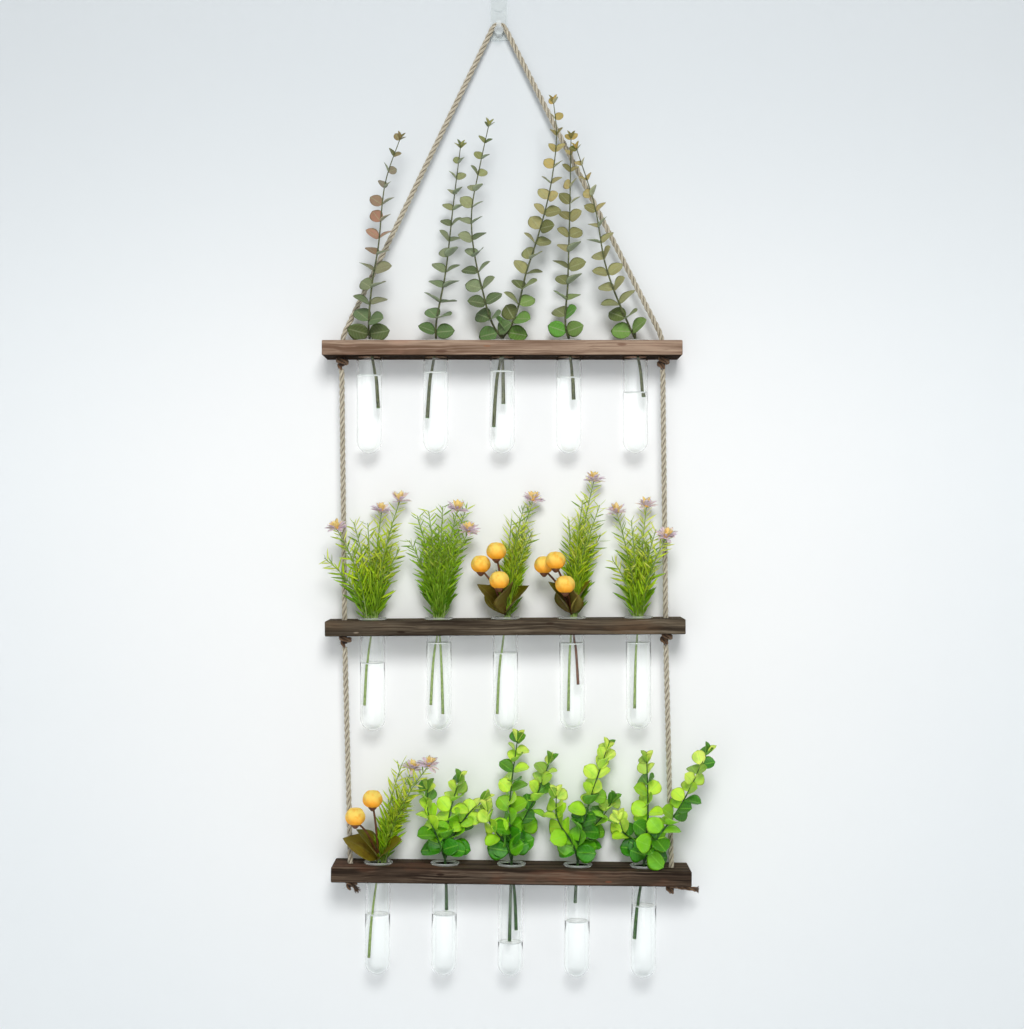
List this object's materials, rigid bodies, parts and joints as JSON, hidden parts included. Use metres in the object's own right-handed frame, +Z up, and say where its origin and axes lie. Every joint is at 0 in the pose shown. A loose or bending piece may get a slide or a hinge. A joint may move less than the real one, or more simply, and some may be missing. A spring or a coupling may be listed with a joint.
{
  "type": "propagation vase",
  "caption": "Wall-hung propagation vase: stained planks on a knotted twisted rope and a clear hook, holding rows of glass test tubes with cuttings.",
  "frame": {"origin": "middle of the wall hook's adhesive back face, on the wall", "axes": "+X to the right, +Y into the wall, +Z up; the planks hang in front of the wall at negative Y"},
  "size_m": [0.3864, 0.0821, 0.9941],
  "materials": {
    "foam_tape": "matt foam",
    "clear_plastic": "clear, glossy",
    "jute_rope": "twisted natural fibre",
    "top_plank_wood": "stained, satin",
    "middle_plank_wood": "stained, satin",
    "bottom_plank_wood": "stained, satin",
    "clear_glass": "clear, polished",
    "eucalyptus": "waxy leaf",
    "leafy_green": "soft leaf",
    "bright_green": "smooth leaf"
  },
  "bodies": {
    "hook": {"adhesive_pad": "foam_tape", "wall_hook": "clear_plastic"},
    "rope_over_hook": {"rope_bend": "jute_rope"},
    "top_tier": {"top_plank": "top_plank_wood", "top_rope_left": "jute_rope", "top_rope_right": "jute_rope", "top_knot_left": "jute_rope", "top_knot_right": "jute_rope"},
    "middle_tier": {"middle_plank": "middle_plank_wood", "middle_rope_left": "jute_rope", "middle_rope_right": "jute_rope", "middle_knot_left": "jute_rope", "middle_knot_right": "jute_rope"},
    "bottom_tier": {"bottom_plank": "bottom_plank_wood", "bottom_rope_left": "jute_rope", "bottom_rope_right": "jute_rope", "bottom_knot_left": "jute_rope", "bottom_knot_right": "jute_rope", "rope_end_left": "jute_rope", "rope_end_right": "jute_rope"},
    "top_tube_1_set": {"top_tube_1": "clear_glass", "top_cutting_1": "eucalyptus"},
    "top_tube_2_set": {"top_tube_2": "clear_glass", "top_cutting_2": "eucalyptus"},
    "top_tube_3_set": {"top_tube_3": "clear_glass", "top_cutting_3": "eucalyptus"},
    "top_tube_4_set": {"top_tube_4": "clear_glass", "top_cutting_4": "eucalyptus"},
    "top_tube_5_set": {"top_tube_5": "clear_glass", "top_cutting_5": "eucalyptus"},
    "middle_tube_1_set": {"middle_tube_1": "clear_glass", "middle_cutting_1": "leafy_green"},
    "middle_tube_2_set": {"middle_tube_2": "clear_glass", "middle_cutting_2": "leafy_green"},
    "middle_tube_3_set": {"middle_tube_3": "clear_glass", "middle_cutting_3": "leafy_green"},
    "middle_tube_4_set": {"middle_tube_4": "clear_glass", "middle_cutting_4": "leafy_green"},
    "middle_tube_5_set": {"middle_tube_5": "clear_glass", "middle_cutting_5": "leafy_green"},
    "bottom_tube_1_set": {"bottom_tube_1": "clear_glass", "bottom_cutting_1": "leafy_green"},
    "bottom_tube_2_set": {"bottom_tube_2": "clear_glass", "bottom_cutting_2": "bright_green"},
    "bottom_tube_3_set": {"bottom_tube_3": "clear_glass", "bottom_cutting_3": "bright_green"},
    "bottom_tube_4_set": {"bottom_tube_4": "clear_glass", "bottom_cutting_4": "bright_green"},
    "bottom_tube_5_set": {"bottom_tube_5": "clear_glass", "bottom_cutting_5": "bright_green"}
  },
  "joints": [
    {"name": "hanger_sway", "type": "hinge", "parent": "hook", "child": "rope_over_hook", "pos_m": [0, -0.011, -0.0195], "axis": [0, 1, 0], "range_deg": [-12, 12]},
    {"name": "hanger_swing", "type": "hinge", "parent": "rope_over_hook", "child": "top_tier", "pos_m": [0, -0.011, -0.01621], "axis": [-1, 0, 0], "range_deg": [0, 20]},
    {"name": "middle_tier_swing", "type": "hinge", "parent": "top_tier", "child": "middle_tier", "pos_m": [0.0035, -0.028, -0.36155], "axis": [-1, 0, 0], "range_deg": [0, 20]},
    {"name": "bottom_tier_swing", "type": "hinge", "parent": "middle_tier", "child": "bottom_tier", "pos_m": [0.00663, -0.028, -0.63795], "axis": [-1, 0, -0.0065], "range_deg": [0, 20]},
    {"name": "top_tube_1_lift", "type": "slide", "parent": "top_tier", "child": "top_tube_1_set", "axis": [0, 0, 1], "range_m": [0, 0.02], "deforming": ["top_cutting_1"]},
    {"name": "top_tube_2_lift", "type": "slide", "parent": "top_tier", "child": "top_tube_2_set", "axis": [0, 0, 1], "range_m": [0, 0.113], "deforming": ["top_cutting_2"]},
    {"name": "top_tube_3_lift", "type": "slide", "parent": "top_tier", "child": "top_tube_3_set", "axis": [0, 0, 1], "range_m": [0, 0.113], "deforming": ["top_cutting_3"]},
    {"name": "top_tube_4_lift", "type": "slide", "parent": "top_tier", "child": "top_tube_4_set", "axis": [0, 0, 1], "range_m": [0, 0.113], "deforming": ["top_cutting_4"]},
    {"name": "top_tube_5_lift", "type": "slide", "parent": "top_tier", "child": "top_tube_5_set", "axis": [0, 0, 1], "range_m": [0, 0.02], "deforming": ["top_cutting_5"]},
    {"name": "middle_tube_1_lift", "type": "slide", "parent": "middle_tier", "child": "middle_tube_1_set", "axis": [-0.0065, 0, 1], "range_m": [0, 0.113], "deforming": ["middle_cutting_1"]},
    {"name": "middle_tube_2_lift", "type": "slide", "parent": "middle_tier", "child": "middle_tube_2_set", "axis": [-0.0065, 0, 1], "range_m": [0, 0.113], "deforming": ["middle_cutting_2"]},
    {"name": "middle_tube_3_lift", "type": "slide", "parent": "middle_tier", "child": "middle_tube_3_set", "axis": [-0.0065, 0, 1], "range_m": [0, 0.113], "deforming": ["middle_cutting_3"]},
    {"name": "middle_tube_4_lift", "type": "slide", "parent": "middle_tier", "child": "middle_tube_4_set", "axis": [-0.0065, 0, 1], "range_m": [0, 0.113], "deforming": ["middle_cutting_4"]},
    {"name": "middle_tube_5_lift", "type": "slide", "parent": "middle_tier", "child": "middle_tube_5_set", "axis": [-0.0065, 0, 1], "range_m": [0, 0.113], "deforming": ["middle_cutting_5"]},
    {"name": "bottom_tube_1_lift", "type": "slide", "parent": "bottom_tier", "child": "bottom_tube_1_set", "axis": [0.0127, 0, 0.9999], "range_m": [0, 0.113], "deforming": ["bottom_cutting_1"]},
    {"name": "bottom_tube_2_lift", "type": "slide", "parent": "bottom_tier", "child": "bottom_tube_2_set", "axis": [0.0127, 0, 0.9999], "range_m": [0, 0.113], "deforming": ["bottom_cutting_2"]},
    {"name": "bottom_tube_3_lift", "type": "slide", "parent": "bottom_tier", "child": "bottom_tube_3_set", "axis": [0.0127, 0, 0.9999], "range_m": [0, 0.113], "deforming": ["bottom_cutting_3"]},
    {"name": "bottom_tube_4_lift", "type": "slide", "parent": "bottom_tier", "child": "bottom_tube_4_set", "axis": [0.0127, 0, 0.9999], "range_m": [0, 0.113], "deforming": ["bottom_cutting_4"]},
    {"name": "bottom_tube_5_lift", "type": "slide", "parent": "bottom_tier", "child": "bottom_tube_5_set", "axis": [0.0127, 0, 0.9999], "range_m": [0, 0.113], "deforming": ["bottom_cutting_5"]}
  ]
}
